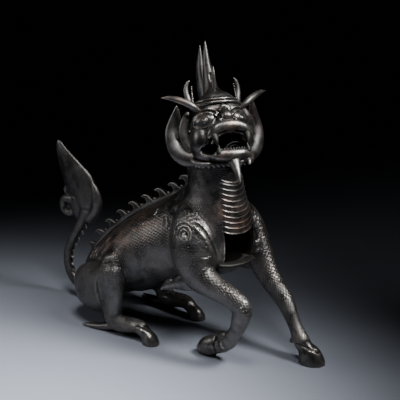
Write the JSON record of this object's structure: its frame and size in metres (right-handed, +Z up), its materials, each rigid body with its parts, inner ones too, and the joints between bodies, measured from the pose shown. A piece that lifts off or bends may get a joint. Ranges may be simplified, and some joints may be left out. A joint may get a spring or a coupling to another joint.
{
  "type": "seated qilin figure",
  "caption": "Hollow-cast bronze figure of a seated, scaled, horned qilin with head raised and mouth open, standing on its hooves, with a cut opening in the chest.",
  "frame": {"origin": "on the floor, under the middle of the figure's bounding box", "axes": "+Z up, +Y towards the tail, so the beast faces -Y, and +X towards its left side"},
  "size_m": [0.2202, 0.6432, 0.6001],
  "materials": {
    "bronze": "dark brown-black patinated cast bronze, rubbed to a satin gloss on the high places"
  },
  "bodies": {
    "root": {"qilin": "bronze"}
  },
  "joints": []
}
